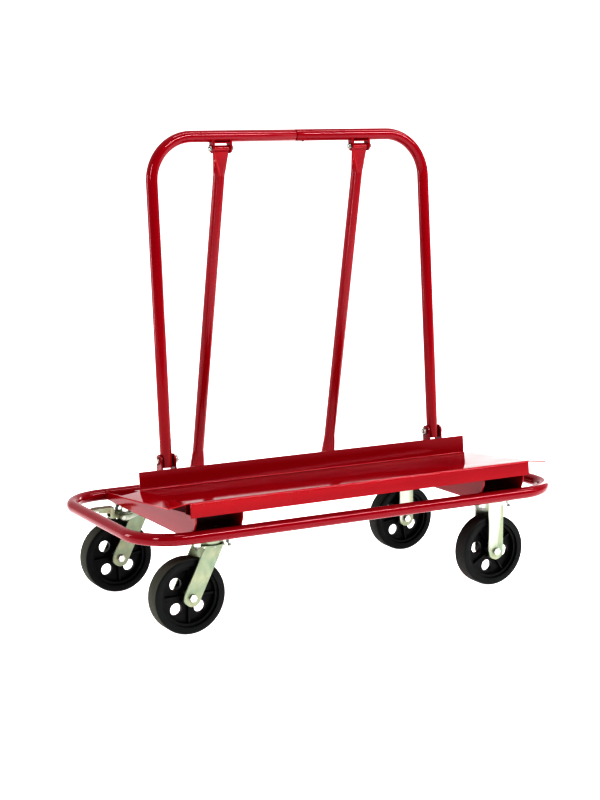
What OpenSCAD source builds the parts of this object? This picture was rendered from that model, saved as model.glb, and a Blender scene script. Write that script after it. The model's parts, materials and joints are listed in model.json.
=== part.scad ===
// Panel cart: a low steel cart on four casters that carries sheets of board on edge,
// leaning on a backrest hoop that folds forward over the deck.
// +X runs along the cart, +Y to its back, +Z up. The origin is on the floor under its middle.

/* [Bumper loop] */
// Length over the bumper tube
loop_l = 1338; // [1300:1:1400]
// Width over the bumper tube
loop_w = 642; // [630:1:660]
// Height of the bumper tube's centre above the floor
loop_z = 268.5; // [266:0.5:272]
// Corner radius of the bumper tube's centre line
loop_r = 125; // [90:1:140]
// Outer diameter of every bent tube
tube_d = 33; // [30:0.5:34]
// Wall thickness of every bent tube
tube_wall = 2.6; // [1.5:0.1:3]

/* [Deck] */
// Slope of the deck, down towards the back, in degrees
tilt = 5; // [3:0.5:6]
// Half length of the flat middle of the deck
deck_half = 529; // [520:1:545]
// Depth of the deck, from the front flange to the upstand
deck_depth = 329; // [320:1:335]
// Height of the deck's front edge above the floor
deck_z = 363.3; // [360:0.1:366]
// Thickness of the deck sheet
deck_t = 3; // [2:0.5:4]
// Height of the front flange
flange_h = 40; // [30:1:44]
// Height of the upstand behind the boards
upstand_h = 50; // [40:1:54]
// Length of the bent-down wing at each end
wing_l = 63; // [30:1:68]
// Angle at which the wings bend down
wing_drop = 6.5; // [0:0.5:8]

/* [Cross members] */
// Distance of each cross member from the cart's middle
cross_x = 446; // [430:1:450]
// Width of a cross member
cross_w = 138; // [134:1:144]
// Thickness of the cross members' sheet
cross_t = 4; // [3:0.5:5]
// Height of the deck rails that stand on the cross members
rail_h = 30; // [26:1:34]

/* [Backrest] */
// Half the distance between the hoop's legs
hoop_half = 435; // [420:1:440]
// Height of the hoop's top bar above its pivot
hoop_h = 882; // [800:1:950]
// Bend radius of the hoop's corners
hoop_r = 123; // [90:1:150]
// Backward lean of the hoop, in degrees
lean = 4; // [2:0.5:6]
// Half the distance between the two struts
strut_x = 222; // [180:1:250]
// Distance of the strut pivot below the top bar's centre
strut_drop = 34; // [33:0.5:38]

/* [Casters] */
// Distance of each caster from the cart's long centre line
caster_y = 241; // [238:1:243]
// Overall height of a caster, from the floor to the cross member
caster_h = 256; // [255:0.5:257]
// Wheel diameter
wheel_d = 203.2; // [195:0.1:205]
// Tread width
tread_w = 50.8; // [45:0.1:52]
// Distance that a swivel wheel trails behind its kingpin
trail = 65; // [55:1:68]
// Width of a fork leg
leg_w = 48; // [44:1:50]

/* [Hidden] */
$fn = 48;
eps = 0.01;
red = "#b3121d";
zinc = "#c6cda8";
steel = "#b9bcc0";
rubber = "#26272a";

// Bumper loop and tubes
tube_bore = tube_d - 2 * tube_wall;
tube_clear = tube_d / 2 + 0.1;
loop_x = (loop_l - tube_d) / 2;
loop_y = (loop_w - tube_d) / 2;
drain_d = 6;

// Deck and rails, in the deck's own tilted frame: v runs back, w runs up from the top surface
deck_y = -317;
bend_r = 6;
fold_r = 3;
upstand_half = 528;
rail_half = 528;
rail_wall = 2.5;
front_rail_v = 6;
front_rail_d = 30;
rear_rail_v = deck_depth - 16;
rear_rail_d = 60;

// Cross members
cross_front = -314;
cross_toe = 309;
end_h = 21;
head_hole = 34;

// Backrest
pivot_v = deck_depth + 25;
pivot_w = 73;
pivot_y = deck_y + pivot_v * cos(tilt) + pivot_w * sin(tilt);
pivot_z = deck_z - pivot_v * sin(tilt) + pivot_w * cos(tilt);
lug_t = 5;
hoop_lug_r = 17;
hoop_gap = 18;
heel = 20;
seam_x = 12;
spigot_l = 60;
spigot_d = tube_bore - 0.2;
screw_x = 35;
screw_d = 5;
strut_lug_r = 13;
strut_gap = 24;
web_t = 3.4;
anchor_z = loop_z + 33;
strut_top_y = pivot_y + (hoop_h - strut_drop) * sin(lean);
strut_top_z = pivot_z + (hoop_h - strut_drop) * cos(lean);
strut_l = norm([loop_y - strut_top_y, strut_top_z - anchor_z]);
strut_a = atan2(loop_y - strut_top_y, strut_top_z - anchor_z);
barrel_l = 46;
flat_w = 44;
flat_t = 8;
taper_l = 75;

// Bolts
m12 = 12;
m10 = 10;
slack = 0.4;
running = 0.16;

// Casters
plate_x = 114;
plate_y = 102;
plate_t = 6;
bolt_x = 46;
bolt_y = 33;
bolt_tip = 227;
plate_z = caster_h - plate_t;
race_z = plate_z - 12;
crown_t = 6;
crown_top = race_z - 3;
crown_z = crown_top - crown_t;
kingpin_d = 16;
fork_gap = 32;
leg_top = 2;
edge_in = 0.1;
fork_t = 6;
wheel_r = wheel_d / 2;
sleeve_d = 19;
hub_half = 30;
rim_r = wheel_r - 19.6;
tread_edge = 5;
hole_d = 34;
hole_pcd = 96;

// Brake, measured from the swivel axis of the far left caster
pin_x = -54;
pin_z = 218;
pin_d = 8;
ear_r = 8;
shoe_z = 206.6;

function top_z(y) = deck_z - (y - deck_y) * tan(tilt) - (rail_h + deck_t) / cos(tilt);

// ---- helpers ----

module both_x() {
    children();
    mirror([1, 0, 0]) children();
}

module both_y() {
    children();
    mirror([0, 1, 0]) children();
}

module at_sides(x) {
    for (s = [-1, 1]) translate([s * x, 0, 0]) children();
}

// A YZ outline extruded along X, centred on x = 0
module along_x(l) {
    rotate([90, 0, 90]) linear_extrude(l, center = true) children();
}

// An XZ outline extruded along Y, centred on y = 0
module along_y(l) {
    rotate([90, 0, 0]) linear_extrude(l, center = true) children();
}

module rod_x(d, l) {
    rotate([0, 90, 0]) cylinder(d = d, h = l, center = true);
}

module rod_y(d, l) {
    rotate([90, 0, 0]) cylinder(d = d, h = l, center = true);
}

module on_deck() {
    translate([0, deck_y, deck_z]) rotate([-tilt, 0, 0]) children();
}

module on_hoop() {
    translate([0, pivot_y, pivot_z]) rotate([-lean, 0, 0]) children();
}

module rounded(w, d, r) {
    square([w - 2 * r, d], center = true);
    square([w, d - 2 * r], center = true);
    for (x = [-1, 1], y = [-1, 1]) translate([x * (w / 2 - r), y * (d / 2 - r)]) circle(r);
}

module hexagon(af) {
    circle(d = af / cos(30), $fn = 6);
}

// A hexagon bolt along +Z whose head sits below z = 0
module hex_bolt(d, af, head, l) {
    translate([0, 0, -head]) linear_extrude(head) hexagon(af);
    translate([0, 0, -eps]) cylinder(d = d, h = l + eps);
}

module hex_nut(d, af, h) {
    linear_extrude(h) difference() {
        hexagon(af);
        circle(d = d + 0.2);
    }
}

module washer(d, outer, h) {
    difference() {
        cylinder(d = outer, h = h);
        translate([0, 0, -1]) cylinder(d = d + 0.2, h = h + 2);
    }
}

// ---- frame ----

module loop_rod(d) {
    both_y() translate([0, loop_y, loop_z]) rod_x(d, 2 * (loop_x - loop_r));
    both_x() translate([loop_x, 0, loop_z]) rod_y(d, 2 * (loop_y - loop_r));
    both_x() both_y() translate([loop_x - loop_r, loop_y - loop_r, loop_z])
        rotate_extrude(angle = 90) translate([loop_r, 0]) circle(d = d);
}

module bumper_loop() {
    color(red) difference() {
        loop_rod(tube_d);
        loop_rod(tube_bore);
        both_y() at_sides(loop_x / 2) translate([0, loop_y, loop_z - tube_d])
            cylinder(d = drain_d, h = tube_d);
    }
}

module loop_outline() {
    for (s = [-1, 1]) translate([s * loop_y, loop_z]) circle(tube_clear);
}

module cross_wall() {
    rear = loop_y - 4;
    polygon([[cross_front, top_z(cross_front)], [cross_front, cross_toe], [3 - loop_y, loop_z + 14.5],
             [8 - loop_y, caster_h], [loop_y - 8, caster_h], [rear, loop_z], [rear, top_z(rear)]]);
}

// Bottom sheet with the end flange that is folded up against the rear tube
module cross_floor() {
    l = 2 * loop_y - tube_d - 1;
    translate([0, 0, caster_h + cross_t / 2]) cube([cross_w, l, cross_t], center = true);
    translate([0, (l - cross_t) / 2, caster_h + end_h / 2]) cube([cross_w, cross_t, end_h], center = true);
}

module cross_members() {
    color(red) at_sides(cross_x) difference() {
        union() {
            at_sides((cross_w - cross_t) / 2) along_x(cross_t) cross_wall();
            cross_floor();
        }
        along_x(cross_w + 1) loop_outline();
        for (y = [-1, 1]) translate([0, y * caster_y, caster_h - 1]) {
            caster_holes(cross_t + 2);
            cylinder(d = head_hole, h = cross_t + 2);
        }
    }
}

module deck_section() {
    translate([bend_r, -deck_t]) square([deck_depth - fold_r - bend_r, deck_t]);
    translate([0, -flange_h]) square([deck_t, flange_h - bend_r]);
    intersection() {
        translate([bend_r, -bend_r]) difference() {
            circle(bend_r);
            circle(bend_r - deck_t);
        }
        translate([0, -bend_r]) square(bend_r);
    }
}

module upstand_section() {
    translate([deck_depth, fold_r]) square([deck_t, upstand_h - fold_r]);
    intersection() {
        translate([deck_depth - fold_r, fold_r]) difference() {
            circle(fold_r + deck_t);
            circle(fold_r);
        }
        translate([deck_depth - fold_r, -deck_t]) square(fold_r + deck_t);
    }
}

module deck() {
    color(red) on_deck() {
        along_x(2 * deck_half) deck_section();
        along_x(2 * upstand_half) upstand_section();
        both_x() translate([deck_half, 0, 0]) rotate([0, wing_drop, 0])
            translate([0, deck_t, -deck_t]) cube([wing_l, deck_depth - fold_r - deck_t, deck_t]);
    }
}

module rail(v, d) {
    translate([0, v + d / 2, -deck_t - rail_h / 2]) difference() {
        cube([2 * rail_half, d, rail_h], center = true);
        cube([2 * rail_half + 1, d - 2 * rail_wall, rail_h - 2 * rail_wall], center = true);
    }
}

module deck_rails() {
    color(red) on_deck() {
        rail(front_rail_v, front_rail_d);
        rail(rear_rail_v, rear_rail_d);
    }
}

// ---- backrest ----

module hoop_lugs() {
    color(red) on_deck() at_sides(hoop_half) at_sides(hoop_gap + lug_t / 2) along_x(lug_t) difference() {
        union() {
            translate([pivot_v - hoop_lug_r, -deck_t]) square([2 * hoop_lug_r, pivot_w + deck_t]);
            translate([pivot_v, pivot_w]) circle(hoop_lug_r);
        }
        translate([pivot_v, pivot_w]) circle(d = m12 + slack);
    }
}

// The head of each pivot bolt is on the outside of the cart
module at_hoop_pivots() {
    both_x() translate([hoop_half, pivot_y, pivot_z]) rotate([0, -90, 0]) translate([0, 0, -hoop_gap - lug_t])
        children();
}

module hoop_pivot_bolts() {
    color(steel) at_hoop_pivots() hex_bolt(m12, 19, 7.5, 2 * (hoop_gap + lug_t) + 13);
}

module hoop_pivot_nuts() {
    color(steel) at_hoop_pivots() translate([0, 0, 2 * (hoop_gap + lug_t)]) hex_nut(m12, 19, 10);
}

module hoop_rod(d, h0, x1) {
    translate([hoop_half, 0, h0]) cylinder(d = d, h = hoop_h - hoop_r - h0);
    translate([hoop_half - hoop_r, 0, hoop_h - hoop_r]) rotate([90, 0, 0])
        rotate_extrude(angle = 90) translate([hoop_r, 0]) circle(d = d);
    translate([x1, 0, hoop_h]) rotate([0, 90, 0]) cylinder(d = d, h = hoop_half - hoop_r - x1);
}

module hoop_half_tube(x1) {
    difference() {
        hoop_rod(tube_d, -heel, x1);
        hoop_rod(tube_bore, -heel - 1, x1 - 1);
        translate([hoop_half, 0, 0]) rod_x(m12 + running, 2 * tube_d);
    }
}

module joint_screw_hole() {
    translate([screw_x, 0, hoop_h - tube_d]) cylinder(d = screw_d + slack, h = tube_d);
}

module hoop_left() {
    color(red) on_hoop() difference() {
        union() {
            mirror([1, 0, 0]) hoop_half_tube(slack - seam_x);
            translate([seam_x - 4, 0, hoop_h]) rotate([0, 90, 0]) difference() {
                cylinder(d = spigot_d, h = spigot_l);
                translate([0, 0, -1]) cylinder(d = spigot_d - 2 * tube_wall, h = spigot_l + 2);
            }
            translate([seam_x - 4, 0, hoop_h]) rotate([0, 90, 0]) difference() {
                cylinder(d = tube_bore + eps, h = 3);
                translate([0, 0, -1]) cylinder(d = spigot_d - 2 * tube_wall, h = 5);
            }
        }
        joint_screw_hole();
    }
}

module hoop_right() {
    color(red) on_hoop() difference() {
        hoop_half_tube(seam_x);
        joint_screw_hole();
    }
}

module hoop_joint_screw() {
    color(steel) on_hoop() translate([screw_x, 0, hoop_h - tube_d / 2]) {
        translate([0, 0, -3]) cylinder(d = 10, h = 3);
        translate([0, 0, -eps]) cylinder(d = screw_d, h = 9);
    }
}

module lug_outline(drop) {
    difference() {
        union() {
            circle(strut_lug_r);
            translate([-strut_lug_r, 0]) square([2 * strut_lug_r, drop]);
        }
        translate([0, drop]) circle(tube_clear);
        circle(d = m10 + slack);
    }
}

module strut_lugs() {
    color(red) on_hoop() at_sides(strut_x) {
        translate([0, 0, hoop_h - strut_drop]) at_sides(strut_gap + lug_t / 2) along_x(lug_t)
            lug_outline(strut_drop);
        translate([0, 0, hoop_h - tube_clear - web_t / 2])
            cube([2 * strut_gap + 2, 2 * strut_lug_r, web_t], center = true);
    }
}

module anchor_lugs() {
    color(red) translate([0, loop_y, anchor_z]) at_sides(strut_x) at_sides(strut_gap + lug_t / 2)
        along_x(lug_t) mirror([0, 1]) lug_outline(anchor_z - loop_z);
}

// Bolt heads face right and nuts face left
module at_lug_bolts() {
    at_sides(strut_x) rotate([0, -90, 0]) translate([0, 0, -strut_gap - lug_t]) children();
}

module strut_pin_bolts() {
    at_lug_bolts() hex_bolt(m10, 16, 6.4, 2 * (strut_gap + lug_t) + 11);
}

module strut_pin_nuts() {
    at_lug_bolts() translate([0, 0, 2 * (strut_gap + lug_t)]) hex_nut(m10, 16, 8);
}

module strut_bolts() {
    color(steel) on_hoop() translate([0, 0, hoop_h - strut_drop]) strut_pin_bolts();
}

module strut_nuts() {
    color(steel) on_hoop() translate([0, 0, hoop_h - strut_drop]) strut_pin_nuts();
}

module anchor_bolts() {
    color(steel) translate([0, loop_y, anchor_z]) strut_pin_bolts();
}

module anchor_nuts() {
    color(steel) translate([0, loop_y, anchor_z]) strut_pin_nuts();
}

// The flattened end of a strut, narrowing from the round tube up to the flat
module strut_taper() {
    hull() {
        translate([0, 0, -11]) cube([flat_w, flat_t, 8], center = true);
        translate([0, 0, -taper_l]) cylinder(d = tube_d, h = 2, $fn = 32);
    }
}

module strut() {
    difference() {
        union() {
            rod_x(18, barrel_l);
            strut_taper();
            translate([0, 0, -strut_l]) mirror([0, 0, 1]) strut_taper();
            translate([0, 0, taper_l - strut_l - 1]) cylinder(d = tube_d, h = strut_l - 2 * taper_l + 2);
            translate([0, 0, -strut_l]) rod_x(21, barrel_l);
        }
        rod_x(m10 + running, barrel_l + 1);
        translate([0, 0, -strut_l]) rod_x(m10 + 0.8, barrel_l + 1);
        translate([0, 0, -strut_l - 10]) cube([barrel_l + 1, m10 + 0.8, 20], center = true);
        translate([0, 0, taper_l - strut_l]) cylinder(d = tube_bore, h = strut_l - 2 * taper_l);
        translate([0, 0, 2 * taper_l - strut_l]) rotate([-90, 0, 0]) cylinder(d = drain_d, h = tube_d);
    }
}

module at_strut_top() {
    translate([0, strut_top_y, strut_top_z]) rotate([strut_a, 0, 0]) children();
}

module strut_left() {
    color(red) at_strut_top() translate([-strut_x, 0, 0]) strut();
}

module strut_right() {
    color(red) at_strut_top() translate([strut_x, 0, 0]) strut();
}

// ---- casters: each is drawn with its kingpin or plate centre on x = y = 0 ----

module caster_holes(h) {
    for (x = [-1, 1], y = [-1, 1]) translate([x * bolt_x, y * bolt_y, 0]) cylinder(d = m10 + 1, h = h);
}

module at_casters(xs) {
    for (x = xs, y = [-1, 1]) translate([x * cross_x, y * caster_y, 0]) children();
}

module caster_plate() {
    translate([0, 0, plate_z]) difference() {
        linear_extrude(plate_t) rounded(plate_x, plate_y, 8);
        translate([0, 0, -1]) caster_holes(plate_t + 2);
    }
}

module swivel_plates() {
    color(zinc) at_casters([-1]) difference() {
        union() {
            caster_plate();
            translate([0, 0, race_z]) cylinder(d1 = 78, d2 = 86, h = plate_z - race_z + eps);
        }
        translate([0, 0, race_z - 1]) cylinder(d = kingpin_d + 0.2, h = 20);
    }
}

module kingpins() {
    color(steel) at_casters([-1]) {
        translate([0, 0, crown_z - 13]) cylinder(d = kingpin_d, h = caster_h - crown_z + 13 + eps);
        translate([0, 0, caster_h]) cylinder(d1 = 28, d2 = 20, h = 5);
    }
}

module kingpin_nuts() {
    color(steel) at_casters([-1]) translate([0, 0, crown_z - slack - 10]) hex_nut(kingpin_d, 24, 10);
}

module caster_bolts() {
    color(steel) at_casters([-1, 1]) for (x = [-1, 1], y = [-1, 1])
        translate([x * bolt_x, y * bolt_y, caster_h + cross_t]) mirror([0, 0, 1])
            hex_bolt(m10, 17, 6.4, caster_h + cross_t - bolt_tip);
}

module caster_nuts() {
    color(steel) at_casters([-1, 1]) for (x = [-1, 1], y = [-1, 1])
        translate([x * bolt_x, y * bolt_y, plate_z - 14]) {
            hex_nut(m10, 17, 10);
            translate([0, 0, 10]) washer(m10, 20, 4);
        }
}

// A leg from the axle up to the crown, leaning forward by the trail that is left at the top
module leg_outline(axle_x, top_x) {
    rise = crown_top - wheel_r;
    difference() {
        union() {
            translate([axle_x, wheel_r]) circle(d = leg_w);
            translate([axle_x, wheel_r]) rotate(-atan2(top_x - axle_x, rise))
                translate([edge_in - leg_w / 2, 0]) square([leg_w - 2 * edge_in, rise * 1.3]);
        }
        translate([-2 * wheel_d, crown_top]) square(4 * wheel_d);
        translate([axle_x, wheel_r]) circle(d = m12 + slack);
    }
}

module fork_legs(axle_x, top_x) {
    both_y() translate([0, fork_gap + fork_t / 2, 0]) along_y(fork_t) leg_outline(axle_x, top_x);
}

module swivel_fork() {
    difference() {
        union() {
            fork_legs(-trail, leg_top);
            translate([0, 0, crown_z]) cylinder(d = 84, h = crown_t);
            translate([leg_top - 32, -fork_gap - fork_t, crown_z])
                cube([62, 2 * (fork_gap + fork_t), crown_t]);
            translate([0, 0, crown_top - eps]) cylinder(d = 74, h = race_z - slack - crown_top);
        }
        translate([0, 0, crown_z - 1]) cylinder(d = kingpin_d + running, h = 20);
    }
}

// The ears behind the fork legs that carry the brake's pin
module brake_ears() {
    both_y() translate([0, fork_gap + fork_t / 2, 0]) along_y(fork_t) difference() {
        union() {
            translate([pin_x, pin_z]) circle(ear_r);
            translate([pin_x, pin_z - ear_r]) square([30, 2 * ear_r]);
        }
        translate([pin_x, pin_z]) circle(d = pin_d + 0.2);
    }
}

module axle_bolt() {
    translate([0, -fork_gap - fork_t, wheel_r]) rotate([-90, 0, 0])
        hex_bolt(m12, 19, 7.5, 2 * (fork_gap + fork_t) + 13);
}

module axle_nut() {
    translate([0, fork_gap + fork_t, wheel_r]) rotate([-90, 0, 0]) hex_nut(m12, 19, 10);
}

module axle_sleeve() {
    translate([0, 0, wheel_r]) rotate([90, 0, 0]) difference() {
        cylinder(d = sleeve_d, h = 2 * fork_gap, center = true);
        cylinder(d = m12 + 0.2, h = 3 * fork_gap, center = true);
    }
}

module rigid_forks() {
    color(zinc) at_casters([1]) {
        caster_plate();
        fork_legs(0, 0);
        both_y() translate([0, fork_gap + fork_t / 2, (crown_top + plate_z) / 2])
            cube([leg_w, fork_t, plate_z - crown_top + 2 * eps], center = true);
    }
}

module rigid_axles() {
    color(steel) at_casters([1]) axle_bolt();
}

module rigid_sleeves() {
    color(steel) at_casters([1]) axle_sleeve();
}

module rigid_axle_nuts() {
    color(steel) at_casters([1]) axle_nut();
}

// ---- wheels ----

module on_axle(x, y) {
    translate([x, y, wheel_r]) rotate([90, 0, 0]) children();
}

module wheel_core(turn) {
    color(rubber) rotate(turn) difference() {
        union() {
            rotate_extrude() {
                translate([(sleeve_d + running) / 2, -hub_half]) square([14, 2 * hub_half]);
                translate([20, -6]) square([rim_r - 22, 12]);
                translate([rim_r - 9, -19]) square([9, 38]);
            }
            for (a = [0:90:270]) rotate(a) translate([22, -3, -14]) cube([rim_r - 28, 6, 28]);
        }
        for (a = [45:90:315]) rotate(a) translate([hole_pcd / 2, 0, -10]) cylinder(d = hole_d, h = 20);
    }
}

module tyre() {
    flat = wheel_r - rim_r - tread_edge;
    color(rubber) rotate_extrude($fn = 96) {
        translate([rim_r, -tread_w / 2]) square([flat, tread_w]);
        translate([rim_r, tread_edge - tread_w / 2]) square([flat + tread_edge, tread_w - 2 * tread_edge]);
        for (s = [-1, 1]) translate([rim_r + flat, s * (tread_w / 2 - tread_edge)]) circle(tread_edge);
    }
}

swivel_wheel_x = -cross_x - trail;

module near_left_core() { on_axle(swivel_wheel_x, -caster_y) wheel_core(0); }
module near_left_tyre() { on_axle(swivel_wheel_x, -caster_y) tyre(); }
module far_left_core() { on_axle(swivel_wheel_x, caster_y) wheel_core(4); }
module far_left_tyre() { on_axle(swivel_wheel_x, caster_y) tyre(); }
module near_right_core() { on_axle(cross_x, -caster_y) wheel_core(32); }
module near_right_tyre() { on_axle(cross_x, -caster_y) tyre(); }
module far_right_core() { on_axle(cross_x, caster_y) wheel_core(9); }
module far_right_tyre() { on_axle(cross_x, caster_y) tyre(); }

// ---- swivel casters ----

module near_left() { translate([-cross_x, -caster_y, 0]) children(); }
module far_left() { translate([-cross_x, caster_y, 0]) children(); }
module at_axle() { translate([-trail, 0, 0]) children(); }

module near_left_fork() { color(zinc) near_left() swivel_fork(); }
module near_left_axle() { color(steel) near_left() at_axle() axle_bolt(); }
module near_left_sleeve() { color(steel) near_left() at_axle() axle_sleeve(); }
module near_left_axle_nut() { color(steel) near_left() at_axle() axle_nut(); }
module far_left_axle() { color(steel) far_left() at_axle() axle_bolt(); }
module far_left_sleeve() { color(steel) far_left() at_axle() axle_sleeve(); }
module far_left_axle_nut() { color(steel) far_left() at_axle() axle_nut(); }

module far_left_fork() {
    color(zinc) far_left() {
        swivel_fork();
        brake_ears();
    }
}

module brake_pin() {
    half = fork_gap + fork_t;
    color(steel) far_left() translate([pin_x, 0, pin_z]) {
        rod_y(pin_d, 2 * half + 2);
        both_y() translate([0, half + 1.5, 0]) rod_y(12, 3);
    }
}

// Side view of the pedal, measured from its pin: hub, shoe arm and the side of the foot channel
module pedal_side() {
    translate([pin_x, pin_z]) polygon([[0, -7.5], [-12, -4.5], [-28, -4.5], [-30, 11], [-65, 15], [-65, 28],
                                       [-18, 28], [-16, 8], [-8, 7.8], [0, 7.5]]);
}

// Section of the foot plate and its thin toe
module pedal_top() {
    translate([pin_x, pin_z]) polygon([[-18, 28], [-65, 28], [-84, 25.5], [-84, 22.5], [-65, 25], [-18, 25]]);
}

module brake_pedal() {
    color(zinc) far_left() difference() {
        union() {
            both_y() translate([0, 13.5, 0]) along_y(3) pedal_side();
            along_y(30) pedal_top();
            translate([pin_x, 0, pin_z]) rod_y(15, 60);
            translate([pin_x - 28, -15, pin_z - 4.5]) cube([16, 30, 3]);
        }
        translate([pin_x, 0, pin_z]) rod_y(pin_d + running, 70);
    }
}

module brake_shoe() {
    color(rubber) far_left() translate([pin_x - 28, -15, shoe_z]) cube([16, 30, pin_z - 4.5 - shoe_z]);
}

bumper_loop();
cross_members();
deck();
deck_rails();
hoop_lugs();
hoop_pivot_bolts();
hoop_pivot_nuts();
anchor_lugs();
anchor_bolts();
anchor_nuts();
swivel_plates();
kingpins();
kingpin_nuts();
rigid_forks();
caster_bolts();
caster_nuts();
rigid_axles();
rigid_sleeves();
rigid_axle_nuts();
near_left_fork();
near_left_axle();
near_left_sleeve();
near_left_axle_nut();
far_left_fork();
far_left_axle();
far_left_sleeve();
far_left_axle_nut();
brake_pin();
brake_pedal();
brake_shoe();
near_left_core();
near_left_tyre();
far_left_core();
far_left_tyre();
near_right_core();
near_right_tyre();
far_right_core();
far_right_tyre();
hoop_left();
hoop_right();
hoop_joint_screw();
strut_lugs();
strut_bolts();
strut_nuts();
strut_left();
strut_right();
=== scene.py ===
import json
import math
import bmesh
import bpy
from mathutils import Matrix, Vector


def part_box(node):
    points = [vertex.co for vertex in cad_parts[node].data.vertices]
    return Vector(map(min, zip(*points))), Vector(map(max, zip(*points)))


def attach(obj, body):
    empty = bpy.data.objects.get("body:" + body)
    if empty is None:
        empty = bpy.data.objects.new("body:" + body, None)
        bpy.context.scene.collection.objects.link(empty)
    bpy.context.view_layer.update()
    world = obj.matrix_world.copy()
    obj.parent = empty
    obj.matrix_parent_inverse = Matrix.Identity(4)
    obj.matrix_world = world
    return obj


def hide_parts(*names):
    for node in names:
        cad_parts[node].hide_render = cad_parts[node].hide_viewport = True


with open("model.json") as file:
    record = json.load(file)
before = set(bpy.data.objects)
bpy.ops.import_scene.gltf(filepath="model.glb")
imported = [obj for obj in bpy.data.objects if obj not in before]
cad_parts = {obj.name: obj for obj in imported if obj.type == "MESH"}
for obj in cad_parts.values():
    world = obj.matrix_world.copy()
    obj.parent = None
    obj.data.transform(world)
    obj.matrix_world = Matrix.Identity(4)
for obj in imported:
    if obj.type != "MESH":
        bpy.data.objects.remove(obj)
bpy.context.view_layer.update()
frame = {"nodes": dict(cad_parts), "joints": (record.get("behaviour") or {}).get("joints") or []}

# ---------------------------------------------------------------------------
# Bumper loop: one round steel tube bent at four corners and butt-welded shut behind.
# It is glossy red powder coat over steel, put on after all the welding is done.
# Four small drain holes are drilled underneath.
# ---------------------------------------------------------------------------
loop_low, loop_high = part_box("bumper_loop")
tube_r = (loop_high.z - loop_low.z) / 2
tube_wall = 0.0026
tube_facets = 40
loop_z = (loop_high.z + loop_low.z) / 2
loop_x = loop_high.x - tube_r
loop_y = loop_high.y - tube_r
loop_bend = 0.125


def fill_inputs(tree, made, links):
    """Links each named input of a node to a socket, or fills it with a value."""
    for socket, value in links.items():
        if isinstance(value, bpy.types.NodeSocket):
            tree.links.new(value, made.inputs[socket])
        else:
            made.inputs[socket].default_value = value
    return made


def add_node(tree, kind, links=None, **settings):
    """One shader node, with its settings made and its inputs linked or filled in."""
    made = tree.nodes.new("ShaderNode" + kind)
    for key, value in settings.items():
        setattr(made, key, value)
    return fill_inputs(tree, made, links or {})


def new_finish(name):
    """An empty material, its node tree and the Object coordinates that its patterns lie on."""
    finish = bpy.data.materials.new(name)
    finish.use_nodes = True
    tree = finish.node_tree
    tree.nodes.clear()
    return finish, tree, add_node(tree, "TexCoord").outputs["Object"]


def new_effect(name, inputs, outputs):
    """An empty shader node group with named sockets, its input node and its output node."""
    effect = bpy.data.node_groups.new(name, "ShaderNodeTree")
    for label, kind, value in inputs:
        effect.interface.new_socket(label, in_out="INPUT", socket_type=kind).default_value = value
    for label, kind in outputs:
        effect.interface.new_socket(label, in_out="OUTPUT", socket_type=kind)
    return effect, effect.nodes.new("NodeGroupInput"), effect.nodes.new("NodeGroupOutput")


def use_effect(tree, effect, links):
    """Places a shader node group in a material."""
    made = tree.nodes.new("ShaderNodeGroup")
    made.node_tree = effect
    return fill_inputs(tree, made, links)


# Edge highlight and wear: Edge marks where the surface is sharply convex; the red coats use it for a painted
# highlight, the other finishes for wear. Worn is that mask broken up by noise so that it comes and goes.
edge_highlight_and_wear, edge_in, edge_out = new_effect(
    "edge_highlight_and_wear",
    [("Vector", "NodeSocketVector", (0, 0, 0)), ("Sharpness", "NodeSocketFloat", 0.54),
     ("Breakup", "NodeSocketFloat", 60.0)],
    [("Edge", "NodeSocketFloat"), ("Worn", "NodeSocketFloat")],
)
convex = add_node(edge_highlight_and_wear, "NewGeometry")
edge_top = add_node(edge_highlight_and_wear, "Math", {0: edge_in.outputs["Sharpness"], 1: 0.10}, operation="ADD")
edge_mask = add_node(edge_highlight_and_wear, "MapRange", {
    0: convex.outputs["Pointiness"], 1: edge_in.outputs["Sharpness"], 2: edge_top.outputs[0],
}, clamp=True)
wear_noise = add_node(edge_highlight_and_wear, "TexNoise", {
    "Vector": edge_in.outputs["Vector"], "Scale": edge_in.outputs["Breakup"], "Detail": 5.0, "Roughness": 0.7,
})
wear_cut = add_node(edge_highlight_and_wear, "MapRange", {0: wear_noise.outputs["Fac"], 1: 0.56, 2: 0.66}, clamp=True)
wear_mask = add_node(edge_highlight_and_wear, "Math", {
    0: edge_mask.outputs[0], 1: wear_cut.outputs[0],
}, operation="MULTIPLY")
edge_highlight_and_wear.links.new(edge_mask.outputs[0], edge_out.inputs["Edge"])
edge_highlight_and_wear.links.new(wear_mask.outputs[0], edge_out.inputs["Worn"])

# Dust: a thin film that settles on whatever faces up, patchy at the scale of a hand.
dust_film, dust_in, dust_out = new_effect(
    "dust_film",
    [("Vector", "NodeSocketVector", (0, 0, 0)), ("Amount", "NodeSocketFloat", 0.1)],
    [("Dust", "NodeSocketFloat")],
)
facing = add_node(dust_film, "NewGeometry")
up_part = add_node(dust_film, "SeparateXYZ", {0: facing.outputs["Normal"]})
upward = add_node(dust_film, "MapRange", {0: up_part.outputs["Z"], 1: 0.2, 2: 1.0}, clamp=True)
dust_patch = add_node(dust_film, "TexNoise", {
    "Vector": dust_in.outputs["Vector"], "Scale": 14.0, "Detail": 7.0, "Roughness": 0.62,
})
dust_cut = add_node(dust_film, "MapRange", {0: dust_patch.outputs["Fac"], 1: 0.42, 2: 0.72}, clamp=True)
dust_lay = add_node(dust_film, "Math", {0: upward.outputs[0], 1: dust_cut.outputs[0]}, operation="MULTIPLY")
dust_all = add_node(dust_film, "Math", {
    0: dust_lay.outputs[0], 1: dust_in.outputs["Amount"],
}, operation="MULTIPLY")
dust_film.links.new(dust_all.outputs[0], dust_out.inputs["Dust"])

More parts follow.
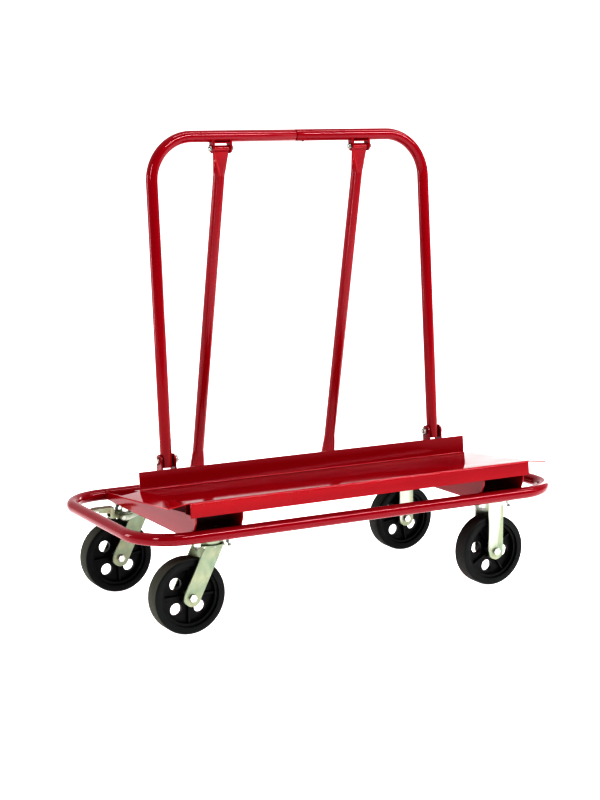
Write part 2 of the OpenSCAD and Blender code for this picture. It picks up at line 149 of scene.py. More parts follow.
# Orange peel: the fine dimples and long slow waves of a sprayed and baked powder.
orange_peel, peel_in, peel_out = new_effect(
    "orange_peel",
    [("Vector", "NodeSocketVector", (0, 0, 0)), ("Dimples", "NodeSocketFloat", 700.0),
     ("Waves", "NodeSocketFloat", 60.0)],
    [("Height", "NodeSocketFloat"), ("Shade", "NodeSocketFloat")],
)
dimples = add_node(orange_peel, "TexNoise", {
    "Vector": peel_in.outputs["Vector"], "Scale": peel_in.outputs["Dimples"], "Detail": 1.0,
})
waves = add_node(orange_peel, "TexNoise", {
    "Vector": peel_in.outputs["Vector"], "Scale": peel_in.outputs["Waves"], "Detail": 2.0,
})
drift = add_node(orange_peel, "TexNoise", {"Vector": peel_in.outputs["Vector"], "Scale": 5.0, "Detail": 3.0})
wave_low = add_node(orange_peel, "Math", {0: waves.outputs["Fac"], 1: 0.7}, operation="MULTIPLY")
peel_sum = add_node(orange_peel, "Math", {0: dimples.outputs["Fac"], 1: wave_low.outputs[0]}, operation="ADD")
orange_peel.links.new(peel_sum.outputs[0], peel_out.inputs["Height"])
orange_peel.links.new(drift.outputs["Fac"], peel_out.inputs["Shade"])


def powder_coat(name, colour, deep, gloss, peel=0.00006, dust=0.04):
    """Baked red powder: an even body colour, orange peel, a painted highlight in brighter red on the sharp
    edges and a little dust.
    """
    coat, tree, place = new_finish(name)
    texture = use_effect(tree, orange_peel, {"Vector": place})
    highlight_and_wear = use_effect(tree, edge_highlight_and_wear, {"Vector": place, "Sharpness": 0.55, "Breakup": 90.0})
    film = use_effect(tree, dust_film, {"Vector": place, "Amount": dust})
    body = add_node(tree, "MixRGB", {0: texture.outputs["Shade"], 1: (*deep, 1), 2: (*colour, 1)})
    # Painted highlight: the sharp edges are mixed towards a brighter red.
    painted_edge_highlight = add_node(tree, "Math", {0: highlight_and_wear.outputs["Edge"], 1: 0.30}, operation="MULTIPLY")
    edged = add_node(tree, "MixRGB", {0: painted_edge_highlight.outputs[0], 1: body.outputs[0], 2: (0.62, 0.03, 0.03, 1)})
    chips = add_node(tree, "Math", {0: highlight_and_wear.outputs["Worn"], 1: 0.35}, operation="MULTIPLY")
    chipped = add_node(tree, "MixRGB", {0: chips.outputs[0], 1: edged.outputs[0], 2: (0.16, 0.05, 0.04, 1)})
    dusty = add_node(tree, "MixRGB", {
        0: film.outputs["Dust"], 1: chipped.outputs[0], 2: (0.62, 0.50, 0.46, 1),
    })
    scuff = add_node(tree, "MapRange", {
        0: texture.outputs["Shade"], 1: 0.3, 2: 0.7, 3: gloss * 0.75, 4: gloss * 1.35,
    })
    dull = add_node(tree, "Math", {0: film.outputs["Dust"], 1: scuff.outputs[0]}, operation="ADD")
    bump = add_node(tree, "Bump", {"Height": texture.outputs["Height"], "Strength": 0.55, "Distance": peel})
    shader = add_node(tree, "BsdfPrincipled", {
        "Base Color": dusty.outputs[0], "Roughness": dull.outputs[0],
        "Normal": bump.outputs[0], "IOR": 1.40,
    })
    add_node(tree, "OutputMaterial", {"Surface": shader.outputs[0]})
    return coat


tube_red = powder_coat("tube_red", (0.230, 0.0, 0.010), (0.194, 0.0, 0.009), gloss=0.07, peel=0.00002)


def keep_mesh(shape, name, body, materials, soft=38.0):
    """Turns a bmesh into a finished piece that rides on a body, smooth except at its real edges."""
    mesh = bpy.data.meshes.new(name)
    shape.to_mesh(mesh)
    shape.free()
    for material in materials:
        mesh.materials.append(material)
    mesh.shade_smooth()
    mesh.set_sharp_from_angle(angle=math.radians(soft))
    piece = bpy.data.objects.new(name, mesh)
    bpy.context.scene.collection.objects.link(piece)
    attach(piece, body)
    return piece


def facing_along(centre, along):
    """The placement of something made round Z, so that it stands at a centre and faces a direction."""
    turn = Vector((0, 0, 1)).rotation_difference(Vector(along)).to_matrix().to_4x4()
    return Matrix.Translation(centre) @ turn


def ring_at(shape, centre, along, radius, sides):
    """A circle of edges round a centre, square to a direction."""
    placed = facing_along(centre, along)
    made = bmesh.ops.create_circle(shape, segments=sides, radius=radius, matrix=placed)
    return list({e for v in made["verts"] for e in v.link_edges})


def of_kind(geometry, kind):
    """The vertices or the edges out of what an operator has made."""
    return [g for g in geometry if isinstance(g, kind)]


def run_tube(shape, ring, steps):
    """Draws a ring of edges out along straights and round bends."""
    for step in steps:
        if step[0] == "go":
            grown = bmesh.ops.extrude_edge_only(shape, edges=ring)["geom"]
            bmesh.ops.translate(shape, verts=of_kind(grown, bmesh.types.BMVert), vec=step[1])
        else:
            centre, axis, angle, count = step[1:]
            turned = bmesh.ops.spin(shape, geom=ring, cent=centre, axis=axis, angle=angle, steps=count)
            grown = turned["geom_last"]
        ring = of_kind(grown, bmesh.types.BMEdge)
    return ring


def tidy_mesh(shape, gap=0.00002):
    """Closes seams and turns every face outwards."""
    bmesh.ops.remove_doubles(shape, verts=shape.verts, dist=gap)
    bmesh.ops.recalc_face_normals(shape, faces=shape.faces)


half_x = loop_x - loop_bend
half_y = loop_y - loop_bend
quarter = math.pi / 2
loop_bend_steps = 20
loop_sides = (
    ((2 * half_x, 0, 0), (half_x, -half_y)),
    ((0, 2 * half_y, 0), (half_x, half_y)),
    ((-2 * half_x, 0, 0), (-half_x, half_y)),
    ((0, -2 * half_y, 0), (-half_x, -half_y)),
)
loop_steps = []
for along, bend in loop_sides:
    loop_steps.append(("go", along))
    loop_steps.append(("turn", (*bend, loop_z), (0, 0, 1), quarter, loop_bend_steps))

loop_shape = bmesh.new()
loop_start = (-half_x, -loop_y, loop_z)
run_tube(loop_shape, ring_at(loop_shape, loop_start, (1, 0, 0), tube_r, tube_facets), loop_steps)
tidy_mesh(loop_shape, 0.0001)
bmesh.ops.solidify(loop_shape, geom=loop_shape.faces, thickness=tube_wall)
bumper_tube = keep_mesh(loop_shape, "bumper_tube", "frame", [tube_red], 50)


def drill(piece, holes):
    """Cuts round holes through a piece. Each hole is a centre, a direction, a radius and a depth."""
    bits = bmesh.new()
    for centre, along, radius, depth in holes:
        bmesh.ops.create_cone(bits, cap_ends=True, segments=24, radius1=radius, radius2=radius,
                              depth=depth, matrix=facing_along(centre, along))
    mesh = bpy.data.meshes.new("drill_bits")
    bits.to_mesh(mesh)
    bits.free()
    cutter = bpy.data.objects.new("drill_bits", mesh)
    bpy.context.scene.collection.objects.link(cutter)
    cut = piece.modifiers.new("drill", "BOOLEAN")
    cut.object = cutter
    cut.operation = "DIFFERENCE"
    cut.solver = "EXACT"
    graph = bpy.context.evaluated_depsgraph_get()
    cut_mesh = bpy.data.meshes.new_from_object(piece.evaluated_get(graph))
    piece.modifiers.clear()
    piece.data = cut_mesh
    bpy.data.objects.remove(cutter)


drain_r = 0.003
drain_bite = 0.012
drill(bumper_tube, [((sx * loop_x / 2, sy * loop_y, loop_z - tube_r), (0, 0, 1), drain_r, drain_bite)
                    for sx in (-1, 1) for sy in (-1, 1)])
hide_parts("bumper_loop")

# ---------------------------------------------------------------------------
# Cross members: two wedge-shaped channels folded from 4 mm steel sheet.
# Their walls are notched round both long sides of the loop and welded to it, and their
# bottom sheet carries the casters.
# ---------------------------------------------------------------------------
def from_cad(node):
    """A merged copy of a CAD node, with its flats joined into whole faces."""
    shape = bmesh.new()
    shape.from_mesh(frame["nodes"][node].data)
    bmesh.ops.remove_doubles(shape, verts=shape.verts, dist=0.000002)
    bmesh.ops.dissolve_degenerate(shape, edges=shape.edges, dist=0.000001)
    bmesh.ops.dissolve_limit(shape, angle_limit=math.radians(0.6), verts=shape.verts, edges=shape.edges)
    return shape


def break_edges(piece, width, segments=2, angle=32.0):
    """Rounds every real edge a little, as shearing, folding and tumbling do."""
    rounding = piece.modifiers.new("broken_edges", "BEVEL")
    rounding.width = width
    rounding.segments = segments
    rounding.limit_method = "ANGLE"
    rounding.angle_limit = math.radians(angle)
    rounding.miter_outer = "MITER_ARC"
    rounding.harden_normals = True
    return piece


def fold_edges(shape, wanted, radius, segments=5):
    """Rounds the long fold lines of a folded sheet; wanted picks them by their two ends."""
    folds = [e for e in shape.edges if len(e.link_faces) == 2 and wanted(e.verts[0].co, e.verts[1].co)]
    bmesh.ops.bevel(shape, geom=folds, offset=radius, offset_type="OFFSET", segments=segments, profile=0.5,
                    affect="EDGES", material=-1, clamp_overlap=True)


cross_low, cross_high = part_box("cross_members")
cross_out = cross_high.x
cross_middle = 0.446
cross_in = 2 * cross_middle - cross_out
channel_red = powder_coat("channel_red", (0.261, 0.0, 0.010), (0.216, 0.0, 0.009), gloss=0.10, peel=0.00005)
cross_fold_r = 0.005
cross_shape = from_cad("cross_members")


def is_cross_fold(a, b):
    """Whether an edge is one of the long lower corners of a channel."""
    near = 0.0003
    shortest_fold = 0.2
    outside = all(min(abs(abs(p.x) - cross_out), abs(abs(p.x) - cross_in)) < near for p in (a, b))
    lowest = all(abs(p.z - cross_low.z) < near for p in (a, b))
    return outside and lowest and abs(b.y - a.y) > shortest_fold


fold_edges(cross_shape, is_cross_fold, cross_fold_r)
cross_channels = break_edges(keep_mesh(cross_shape, "cross_channels", "frame", [channel_red]), 0.0006)
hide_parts("cross_members")

# ---------------------------------------------------------------------------
# Deck: one 3 mm steel sheet. The front edge is folded down, the back edge is folded up
# behind the load, and a short wing at each end is bent slightly down.
# Its flat top is glossy and holds less dust than the other red pieces.
# ---------------------------------------------------------------------------
deck_red = powder_coat("deck_red", (0.261, 0.0, 0.010), (0.221, 0.0, 0.009),
                       gloss=0.09, peel=0.00003, dust=0.015)
deck_sheet = break_edges(keep_mesh(from_cad("deck"), "deck_sheet", "frame", [deck_red], 25), 0.0006)
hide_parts("deck")

# ---------------------------------------------------------------------------
# Deck rails: two rectangular steel tubes under the deck, welded across the tops of the
# cross members. Their open ends show at the ends of the deck.
# ---------------------------------------------------------------------------
rail_red = powder_coat("rail_red", (0.239, 0.0, 0.010), (0.184, 0.0, 0.008), gloss=0.16)
rail_tubes = break_edges(keep_mesh(from_cad("deck_rails"), "rail_tubes", "frame", [rail_red]), 0.0022, 4)
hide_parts("deck_rails")

# ---------------------------------------------------------------------------
# Lugs: sheared 5 mm ears, welded upright on the rear rail for the hoop, on the loop for
# the struts' hooks, and under the top bar for the struts' bolts.
# ---------------------------------------------------------------------------
lug_red = powder_coat("lug_red", (0.239, 0.0, 0.010), (0.198, 0.0, 0.008), gloss=0.15)
for lugs, body in (("hoop_lugs", "frame"), ("anchor_lugs", "frame"), ("strut_lugs", "hoop")):
    ears = break_edges(keep_mesh(from_cad(lugs), lugs + "_ears", body, [lug_red]), 0.0007)
    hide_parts(lugs)

# ---------------------------------------------------------------------------
# Backrest hoop: two J-shaped tubes. The left one is swaged down to a spigot that slides
# into the right one just past the middle of the top bar, where a screw holds it.
# ---------------------------------------------------------------------------
fold_joint = next(j for j in frame["joints"] if j["name"] == "hoop_fold")
hoop_pivot = Vector(fold_joint["pos_m"])
lean = math.radians(4)
hoop_lean = Matrix.Translation(hoop_pivot) @ Matrix.Rotation(-lean, 4, "X")
hoop_half = 0.435
hoop_rise = 0.882
hoop_bend = 0.123
hoop_bend_steps = 24
heel = 0.020
seam_x = 0.012
hoop_red = powder_coat("hoop_red", (0.230, 0.0, 0.010), (0.194, 0.0, 0.009), gloss=0.07, peel=0.00002)


def j_tube(side, end_x, ending):
    """A J-shaped half of the hoop: up the leg, round the corner and along to end_x.

    Each step of the ending moves the end along X by a shift and scales its ring.
    """
    shape = bmesh.new()
    ring = ring_at(shape, (side * hoop_half, 0, -heel), (0, 0, 1), tube_r, tube_facets)
    corner = (side * (hoop_half - hoop_bend), 0, hoop_rise - hoop_bend)
    reach = side * (hoop_half - hoop_bend) - end_x
    last = run_tube(shape, ring, [
        ("go", (0, 0, heel + hoop_rise - hoop_bend)),
        ("turn", corner, (0, -side, 0), quarter, hoop_bend_steps),
        ("go", (-reach, 0, 0)),
    ])
    for shift, shrink in ending:
        grown = bmesh.ops.extrude_edge_only(shape, edges=last)["geom"]
        verts = of_kind(grown, bmesh.types.BMVert)
        middle = sum((v.co for v in verts), Vector()) / len(verts)
        bmesh.ops.scale(shape, verts=verts, vec=(1, shrink, shrink), space=Matrix.Translation(-middle))
        bmesh.ops.translate(shape, verts=verts, vec=(shift, 0, 0))
        last = of_kind(grown, bmesh.types.BMEdge)
    tidy_mesh(shape)
    bmesh.ops.solidify(shape, geom=shape.faces, thickness=tube_wall)
    bmesh.ops.transform(shape, matrix=hoop_lean, verts=shape.verts)
    return shape


swaged_end = ((0.0006, 0.975), (0.0006, 0.90), (0.0020, 0.93), (0.050, 0.995))
plain_end = ((-0.0006, 0.975),)
left_half = j_tube(-1, seam_x - 0.0026, swaged_end)
right_half = j_tube(1, seam_x + 0.0008, plain_end)
hoop_left_tube = keep_mesh(left_half, "hoop_left_tube", "hoop", [hoop_red], 50)
hoop_right_tube = keep_mesh(right_half, "hoop_right_tube", "hoop", [hoop_red], 50)
for tube, node in ((hoop_left_tube, "hoop_left"), (hoop_right_tube, "hoop_right")):
    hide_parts(node)

# ---------------------------------------------------------------------------
# Struts: round tube with both ends pressed flat. A barrel across the upper end turns on
# its bolt, and the lower end is an open hook that drops over a bolt on the loop.
# ---------------------------------------------------------------------------
strut_red = powder_coat("strut_red", (0.252, 0.0, 0.010), (0.198, 0.0, 0.008), gloss=0.12)
for node, body in (("strut_left", "left_strut"), ("strut_right", "right_strut")):
    strut = break_edges(keep_mesh(from_cad(node), node + "_tube", body, [strut_red], 30), 0.0009, 3, 40)
    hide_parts(node)

# ---------------------------------------------------------------------------
# Casters: pressed and welded steel, zinc plated and passivated to a pale yellow-green.
# The swivel plates with their races are a little duller and more metallic than the forks.
# ---------------------------------------------------------------------------
# Plating: the passivate's tint drifts between straw and green, with smears left by drying.
plating_tint, tint_in, tint_out = new_effect(
    "plating_tint",
    [("Vector", "NodeSocketVector", (0, 0, 0)), ("Scale", "NodeSocketFloat", 22.0)],
    [("Tint", "NodeSocketFloat"), ("Smear", "NodeSocketFloat"), ("Height", "NodeSocketFloat")],
)
tint_cloud = add_node(plating_tint, "TexNoise", {
    "Vector": tint_in.outputs["Vector"], "Scale": tint_in.outputs["Scale"], "Detail": 4.0, "Distortion": 0.8,
})
stretch = add_node(plating_tint, "Mapping", {"Vector": tint_in.outputs["Vector"], "Scale": (1.0, 1.0, 0.22)})
smears = add_node(plating_tint, "TexNoise", {
    "Vector": stretch.outputs[0], "Scale": 90.0, "Detail": 6.0, "Roughness": 0.7,
})
smear_cut = add_node(plating_tint, "MapRange", {0: smears.outputs["Fac"], 1: 0.35, 2: 0.7}, clamp=True)
grit = add_node(plating_tint, "TexNoise", {
    "Vector": tint_in.outputs["Vector"], "Scale": 900.0, "Detail": 2.0,
})
plating_tint.links.new(tint_cloud.outputs["Fac"], tint_out.inputs["Tint"])
plating_tint.links.new(smear_cut.outputs[0], tint_out.inputs["Smear"])
plating_tint.links.new(grit.outputs["Fac"], tint_out.inputs["Height"])


def zinc_plate(name, straw, green, rough, metal, grain=0.00004):
    """Zinc plated steel with a coloured passivate."""
    plate, tree, place = new_finish(name)
    tint = use_effect(tree, plating_tint, {"Vector": place})
    highlight_and_wear = use_effect(tree, edge_highlight_and_wear, {"Vector": place, "Sharpness": 0.54, "Breakup": 150.0})
    tint_cut = add_node(tree, "MapRange", {0: tint.outputs["Tint"], 1: 0.35, 2: 0.65}, clamp=True)
    base = add_node(tree, "MixRGB", {0: tint_cut.outputs[0], 1: (*straw, 1), 2: (*green, 1)})
    smear = add_node(tree, "Math", {0: tint.outputs["Smear"], 1: 0.30}, operation="MULTIPLY")
    smeared = add_node(tree, "MixRGB", {0: smear.outputs[0], 1: base.outputs[0], 2: (0.30, 0.29, 0.17, 1)})
    bare = add_node(tree, "Math", {0: highlight_and_wear.outputs["Edge"], 1: 0.45}, operation="MULTIPLY")
    edged = add_node(tree, "MixRGB", {0: bare.outputs[0], 1: smeared.outputs[0], 2: (0.86, 0.87, 0.84, 1)})
    rough_map = add_node(tree, "MapRange", {0: tint.outputs["Smear"], 3: rough * 0.8, 4: rough * 1.35})
    bump = add_node(tree, "Bump", {"Height": tint.outputs["Height"], "Strength": 0.5, "Distance": grain})
    shader = add_node(tree, "BsdfPrincipled", {
        "Base Color": edged.outputs[0], "Roughness": rough_map.outputs[0],
        "Normal": bump.outputs[0], "Metallic": metal,
    })
    add_node(tree, "OutputMaterial", {"Surface": shader.outputs[0]})
    return plate


fork_zinc = zinc_plate("fork_zinc", (0.325, 0.35, 0.252), (0.232, 0.295, 0.225), rough=0.36, metal=0.70)
plate_zinc = zinc_plate("plate_zinc", (0.36, 0.35, 0.25), (0.30, 0.37, 0.29), rough=0.38, metal=0.85)
caster_pieces = (
    ("swivel_plates", "frame", plate_zinc, 0.0009),
    ("rigid_forks", "frame", fork_zinc, 0.0011),
    ("near_left_fork", "near_left_caster", fork_zinc, 0.0011),
    ("far_left_fork", "far_left_caster", fork_zinc, 0.0011),
)
for node, body, finish, width in caster_pieces:
    pressing = break_edges(keep_mesh(from_cad(node), node + "_pressing", body, [finish]), width, 3)
    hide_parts(node)

# ---------------------------------------------------------------------------
# Bolts, nuts, pins and sleeves: cold-headed steel in bright zinc, and turned steel left
# duller. The caster bolts have a rolled thread on what stands below their plates.
# ---------------------------------------------------------------------------
bright_zinc = zinc_plate("bright_zinc", (0.50, 0.51, 0.51), (0.58, 0.60, 0.58),
                         rough=0.24, metal=1.0, grain=0.00002)
dull_steel = zinc_plate("dull_steel", (0.38, 0.38, 0.36), (0.46, 0.46, 0.43), rough=0.36, metal=1.0)


def rolled_thread(name, direction, pitch):
    """Bright zinc with the ridges of a thread along one axis."""
    thread = zinc_plate(name, (0.44, 0.45, 0.45), (0.52, 0.53, 0.52), rough=0.3, metal=1.0)
    tree = thread.node_tree
    shader = next(n for n in tree.nodes if n.type == "BSDF_PRINCIPLED")
    place = next(n for n in tree.nodes if n.type == "TEX_COORD").outputs["Object"]
    ridges = add_node(tree, "TexWave", {
        "Vector": place, "Scale": math.tau / (20 * pitch),
    }, bands_direction=direction)
    grooves = add_node(tree, "Bump", {
        "Height": ridges.outputs["Fac"], "Strength": 1.0, "Distance": pitch * 0.5,
    })
    tree.links.new(grooves.outputs[0], shader.inputs["Normal"])
    return thread


upright_thread = rolled_thread("thread_z", "Z", 0.0015)


def fasteners(nodes, body, thread_below=None, rounding=0.0005):
    """Bolts or nuts from the CAD with broken edges; upright faces under thread_below are threaded."""
    for node in nodes:
        shape = from_cad(node)
        finishes = [bright_zinc]
        if thread_below:
            finishes.append(upright_thread)
            for f in shape.faces:
                if abs(f.normal.z) < 0.2 and f.calc_center_median().z < thread_below:
                    f.material_index = 1
        piece = break_edges(keep_mesh(shape, node + "_set", body, finishes), rounding)
        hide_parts(node)


thread_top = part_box("rigid_forks")[1].z - 0.005
fasteners(["caster_bolts"], "frame", thread_top)
fasteners(["caster_nuts"], "frame")
fasteners(["kingpin_nuts"], "frame", rounding=0.0008)
fasteners(["hoop_pivot_bolts", "anchor_bolts"], "frame")
fasteners(["hoop_pivot_nuts", "anchor_nuts"], "frame")
fasteners(["strut_bolts", "strut_nuts", "hoop_joint_screw"], "hoop")
fasteners(["rigid_axles", "rigid_axle_nuts"], "frame", rounding=0.0006)
for caster in ("near_left", "far_left"):
    axle_set = [caster + "_axle", caster + "_axle_nut"]
    fasteners(axle_set, caster + "_caster", rounding=0.0006)
for node in ("kingpins", "brake_pin", "rigid_sleeves", "near_left_sleeve", "far_left_sleeve"):
    turned = frame["nodes"][node]
    turned.data.materials.clear()
    turned.data.materials.append(dull_steel)

# ---------------------------------------------------------------------------
# Wheels: a black moulded core with a hub, a flat web with four round holes, four ribs and
# a wide rim. The tyre is a separate band of hard black rubber. The treads of the swivel
# wheels are worn grey, and those of the fixed ones are still black.
# ---------------------------------------------------------------------------
# Mould skin: the faint flow marks and sheen changes of a moulded surface.
mould_skin, skin_in, skin_out = new_effect(
    "mould_skin",
    [("Vector", "NodeSocketVector", (0, 0, 0)), ("Grain", "NodeSocketFloat", 1200.0)],
    [("Flow", "NodeSocketFloat"), ("Height", "NodeSocketFloat")],
)
flow = add_node(mould_skin, "TexNoise", {
    "Vector": skin_in.outputs["Vector"], "Scale": 35.0, "Detail": 6.0, "Distortion": 1.5,
})
pits = add_node(mould_skin, "TexNoise", {
    "Vector": skin_in.outputs["Vector"], "Scale": skin_in.outputs["Grain"], "Detail": 2.0,
})
mould_skin.links.new(flow.outputs["Fac"], skin_out.inputs["Flow"])
mould_skin.links.new(pits.outputs["Fac"], skin_out.inputs["Height"])


def moulded(name, dark, light, rough, grain, depth, dust=0.05):
    """A moulded black surface with flow marks, a fine skin and a trace of dust."""
    skin, tree, place = new_finish(name)
    marks = use_effect(tree, mould_skin, {"Vector": place, "Grain": grain})
    highlight_and_wear = use_effect(tree, edge_highlight_and_wear, {"Vector": place, "Sharpness": 0.53, "Breakup": 80.0})
    film = use_effect(tree, dust_film, {"Vector": place, "Amount": dust})
    body = add_node(tree, "MixRGB", {0: marks.outputs["Flow"], 1: (*dark, 1), 2: (*light, 1)})
    rub = add_node(tree, "Math", {0: highlight_and_wear.outputs["Edge"], 1: 0.25}, operation="MULTIPLY")
    rubbed = add_node(tree, "MixRGB", {0: rub.outputs[0], 1: body.outputs[0], 2: (0.06, 0.06, 0.06, 1)})
    dusty = add_node(tree, "MixRGB", {
        0: film.outputs["Dust"], 1: rubbed.outputs[0], 2: (0.22, 0.21, 0.19, 1),
    })
    sheen = add_node(tree, "MapRange", {
        0: marks.outputs["Flow"], 1: 0.3, 2: 0.7, 3: rough * 0.85, 4: rough * 1.2,
    })
    bump = add_node(tree, "Bump", {"Height": marks.outputs["Height"], "Strength": 0.6, "Distance": depth})
    shader = add_node(tree, "BsdfPrincipled", {
        "Base Color": dusty.outputs[0], "Roughness": sheen.outputs[0],
        "Normal": bump.outputs[0], "IOR": 1.38,
    })
    add_node(tree, "OutputMaterial", {"Surface": shader.outputs[0]})
    return skin


core_black = moulded("core_black", (0.002, 0.002, 0.002), (0.004, 0.004, 0.005),
                     0.45, 1400.0, 0.00004, dust=0.03)
side_black = moulded("side_black", (0.002, 0.003, 0.003), (0.005, 0.006, 0.006),
                     0.44, 900.0, 0.00006, dust=0.05)
tread_worn = moulded("tread_worn", (0.040, 0.041, 0.032), (0.070, 0.072, 0.056),
                     0.72, 500.0, 0.00015, dust=0.0)
tread_new = moulded("tread_new", (0.016, 0.017, 0.016), (0.034, 0.035, 0.032),
                    0.68, 500.0, 0.00015, dust=0.0)
tyre_half = 0.0254
tyre_r = 0.1016
rim_r = tyre_r - 0.0196
tread_depth = 0.0022

# Half of the tyre's section: from the rim, down a side wall, round the shoulder and on to the
# middle of the tread. The shoulder's points are drops below the tread and in from the side.
shoulder = ((0.0052, 0.0002), (0.0036, 0.0007), (0.0019, 0.0019), (0.0008, 0.0038), (0.0002, 0.0070))
side_wall = [(rim_r, -tyre_half + 0.0004), (rim_r + 0.001, -tyre_half), (rim_r + 0.0115, -tyre_half)]
half_section = side_wall + [(tyre_r - drop, -tyre_half + inset) for drop, inset in shoulder] + [(tyre_r, 0.0)]
seat = [(rim_r, tyre_half - 0.002), (rim_r, -tyre_half + 0.002)]
tyre_section = half_section + [(r, -y) for r, y in reversed(half_section[:-1])] + seat

for corner in ("near_left", "far_left", "near_right", "far_right"):
    body = corner + "_wheel"
    low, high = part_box(corner + "_tyre")
    middle = (low + high) / 2
    core_mesh = keep_mesh(from_cad(corner + "_core"), corner + "_core_moulding", body, [core_black])
    core = break_edges(core_mesh, 0.0012, 3)
    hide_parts(corner + "_core")

    band = bmesh.new()
    points = [band.verts.new((middle.x + r, middle.y + y, middle.z)) for r, y in tyre_section]
    edges = [band.edges.new((a, b)) for a, b in zip(points, points[1:] + points[:1])]
    bmesh.ops.spin(band, geom=points + edges, cent=middle, axis=(0, 1, 0), angle=math.tau,
                   steps=120, use_merge=True)
    tidy_mesh(band)
    for f in band.faces:
        c = f.calc_center_median() - middle
        if math.hypot(c.x, c.z) > tyre_r - tread_depth:
            f.material_index = 1
    tread = tread_worn if corner.endswith("left") else tread_new
    tyre = keep_mesh(band, corner + "_tyre_band", body, [side_black, tread], 50)
    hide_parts(corner + "_tyre")

# ---------------------------------------------------------------------------
# Brake: a folded zinc pedal on the far left caster. Its short arm carries a block of hard
# rubber that presses on the tread.
# ---------------------------------------------------------------------------
pedal = break_edges(keep_mesh(from_cad("brake_pedal"), "pedal_folding", "brake", [plate_zinc]), 0.0007, 2)
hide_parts("brake_pedal")
shoe_rubber = moulded("shoe_rubber", (0.015, 0.015, 0.016), (0.03, 0.03, 0.03), 0.6, 600.0, 0.0001)
shoe = break_edges(keep_mesh(from_cad("brake_shoe"), "shoe_block", "brake", [shoe_rubber]), 0.0010, 2)
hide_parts("brake_shoe")

# ---------------------------------------------------------------------------
# Weld beads: rippled steel fillets round the loop where the channels meet it and at the feet
# of the lugs. They are powder coated together with the parts that they join.
# ---------------------------------------------------------------------------
weld_red = powder_coat("weld_red", (0.230, 0.0, 0.010), (0.180, 0.0, 0.008), gloss=0.18, peel=0.00012)


def lay_bead(shape, path, radius):
    """One weld bead along a line of points, pinched at every other one."""
    rings = []
    for i, point in enumerate(path):
        before = path[max(i - 1, 0)]
        after = path[min(i + 1, len(path) - 1)]
        pinch = 0.5 if i in (0, len(path) - 1) else (1.0 if i % 2 else 0.86)
        rings.append(ring_at(shape, point, after - before, radius * pinch, 8))
    for a, b in zip(rings, rings[1:]):
        bmesh.ops.bridge_loops(shape, edges=a + b)
    bmesh.ops.holes_fill(shape, edges=rings[0] + rings[-1], sides=0)


ripple = 0.0022


def straight(a, b):
    """Points along a line, one ripple apart."""
    count = max(3, int((b - a).length / ripple))
    return [a.lerp(b, i / count) for i in range(count + 1)]


def arc_x(x, y, z, radius, start, end):
    """Points on a circle round a tube that runs along X. Angles are in degrees from +Y towards +Z."""
    count = max(3, int(radius * math.radians(abs(end - start)) / ripple))
    angles = [math.radians(start + (end - start) * i / count) for i in range(count + 1)]
    return [Vector((x, y + radius * math.cos(a), z + radius * math.sin(a))) for a in angles]


bead_r = 0.0022
lug_bead_r = 0.0019
bead_stand = 0.0008
lug_t = 0.005
hoop_gap = 0.018
strut_x = 0.222
strut_gap = 0.024
strut_ear_x = strut_gap + lug_t + 0.0004
deck_y = -0.317
deck_z = 0.3633
deck_t = 0.003
deck_tilt = math.radians(5)
pivot_along = 0.354
foot_half = 0.016

# The middle of a hoop lug's foot, and half of its length down the sloping deck
foot_y = deck_y + pivot_along * math.cos(deck_tilt) - deck_t * math.sin(deck_tilt)
foot_z = deck_z - pivot_along * math.sin(deck_tilt) - deck_t * math.cos(deck_tilt)
foot = Vector((0, foot_y, foot_z))
run = Vector((0, math.cos(deck_tilt), -math.sin(deck_tilt))) * foot_half

frame_beads = bmesh.new()
for s in (-1, 1):
    for wall_x, outward in ((cross_in, -0.0005), (cross_out, 0.0005)):
        x = s * (wall_x + outward)
        notch_r = tube_r + 0.0010
        lay_bead(frame_beads, arc_x(x, -loop_y, loop_z, notch_r, -50, 82), bead_r)
        lay_bead(frame_beads, arc_x(x, loop_y, loop_z, notch_r, 230, 108), bead_r)
    for ear in (-1, 1):
        lift = Vector((s * hoop_half + ear * (hoop_gap + lug_t + bead_stand), 0, bead_stand))
        lay_bead(frame_beads, straight(foot - run + lift, foot + run + lift), bead_r)
        anchor_x = s * strut_x + ear * strut_ear_x
        lay_bead(frame_beads, arc_x(anchor_x, loop_y, loop_z, tube_r + bead_stand, 42, 138), lug_bead_r)
frame_welds = keep_mesh(frame_beads, "frame_welds", "frame", [weld_red], 60)

hoop_beads = bmesh.new()
for s in (-1, 1):
    for ear in (-1, 1):
        ear_x = s * strut_x + ear * strut_ear_x
        lay_bead(hoop_beads, arc_x(ear_x, 0, hoop_rise, tube_r + bead_stand, 222, 318), lug_bead_r)
bmesh.ops.transform(hoop_beads, matrix=hoop_lean, verts=hoop_beads.verts)
hoop_welds = keep_mesh(hoop_beads, "hoop_welds", "hoop", [weld_red], 60)

# ---------------------------------------------------------------------------
# Studio: a plain pale floor that glows a little, so that it fades into the white around it.
# Soft lamps stand above, in front and at both sides. The camera stands about as high as the
# top of the hoop and looks slightly down.
# ---------------------------------------------------------------------------
floor_shape = bmesh.new()
bmesh.ops.create_circle(floor_shape, cap_ends=True, segments=64, radius=40.0)
floor_mesh = bpy.data.meshes.new("floor")
floor_shape.to_mesh(floor_mesh)
floor_shape.free()
floor = bpy.data.objects.new("floor", floor_mesh)
bpy.context.scene.collection.objects.link(floor)
floor_paint = bpy.data.materials.new("floor_paint")
floor_paint.use_nodes = True
floor_shader = floor_paint.node_tree.nodes["Principled BSDF"]
for socket, value in (("Base Color", (0.86, 0.86, 0.86, 1)), ("Roughness", 0.9), ("Specular IOR Level", 0.0),
                      ("Emission Color", (1, 1, 1, 1)), ("Emission Strength", 0.60)):
    floor_shader.inputs[socket].default_value = value
floor_mesh.materials.append(floor_paint)

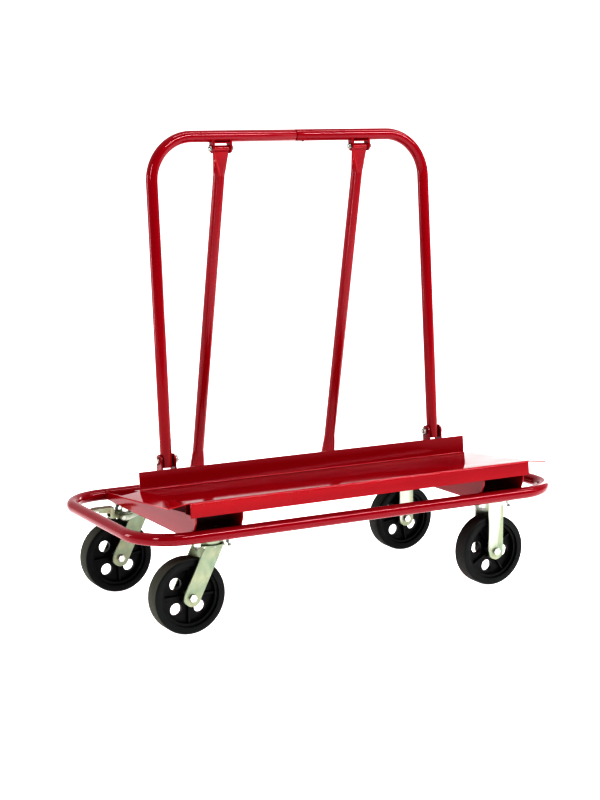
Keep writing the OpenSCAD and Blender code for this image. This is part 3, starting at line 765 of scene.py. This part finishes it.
studio = bpy.data.worlds.new("studio")
bpy.context.scene.world = studio
studio.use_nodes = True
sky = studio.node_tree
sky.nodes.clear()
sky_place = add_node(sky, "TexCoord")
sky_parts = add_node(sky, "SeparateXYZ", {0: sky_place.outputs["Generated"]})
sky_back = add_node(sky, "MapRange", {
    0: sky_parts.outputs["Y"], 1: -0.6, 2: 0.7, 3: 0.14, 4: 0.70,
}, clamp=True)
sky_seen = add_node(sky, "LightPath")
sky_level = add_node(sky, "MixRGB", {
    0: sky_seen.outputs["Is Camera Ray"], 1: sky_back.outputs[0], 2: (1.0, 1.0, 1.0, 1),
})
sky_light = add_node(sky, "Background", {"Color": sky_level.outputs[0], "Strength": 1.0})
add_node(sky, "OutputWorld", {"Surface": sky_light.outputs[0]})


def softbox(name, place, aim, width, height, watts):
    """A rectangular white lamp at a place, turned towards its aim."""
    lamp = bpy.data.lights.new(name, "AREA")
    lamp.shape = "RECTANGLE"
    lamp.size = width
    lamp.size_y = height
    lamp.energy = watts
    stand = bpy.data.objects.new(name, lamp)
    stand.location = place
    stand.rotation_euler = (Vector(aim) - Vector(place)).to_track_quat("-Z", "Y").to_euler()
    bpy.context.scene.collection.objects.link(stand)


softbox("top_box", (1.9, -0.6, 4.0), (1.9, 0.0, 0.4), 4.6, 0.35, 60)
softbox("front_strip", (2.2, -3.0, 3.0), (2.2, 0.0, 0.6), 4.6, 0.36, 130)
softbox("key_box", (-3.6, -2.2, 2.6), (0, 0, 0.5), 0.7, 1.6, 40)
softbox("side_box", (3.6, -2.0, 2.0), (0, 0, 0.5), 0.5, 2.0, 5)
softbox("left_rim", (-3.0, 1.6, 1.1), (-0.5, 0, 0.3), 0.8, 1.4, 16)
softbox("right_rim", (3.0, 1.8, 1.1), (0.6, 0, 0.3), 0.8, 1.4, 14)

camera_data = bpy.data.cameras.new("camera")
camera_data.sensor_width = 36
camera_data.lens = 76.8708
camera_data.shift_x = -0.00473
camera_data.shift_y = -0.00758
camera_data.clip_end = 100
camera = bpy.data.objects.new("camera", camera_data)
yaw = math.radians(28.57)
pitch = math.radians(9.01)
roll = math.radians(-0.60)
ahead = Vector((math.sin(yaw) * math.cos(pitch), math.cos(yaw) * math.cos(pitch), -math.sin(pitch)))
level = Vector((math.cos(yaw), -math.sin(yaw), 0))
above = level.cross(ahead)
right = math.cos(roll) * level + math.sin(roll) * above
top = math.cos(roll) * above - math.sin(roll) * level
pose = Matrix((right, top, -ahead)).transposed().to_4x4()
pose.translation = Vector((-2.3106, -4.1989, 1.3184))
camera.matrix_world = pose
bpy.context.scene.collection.objects.link(camera)
bpy.context.scene.camera = camera
bpy.context.scene.view_settings.view_transform = "Standard"
bpy.context.scene.view_settings.look = "Very High Contrast"
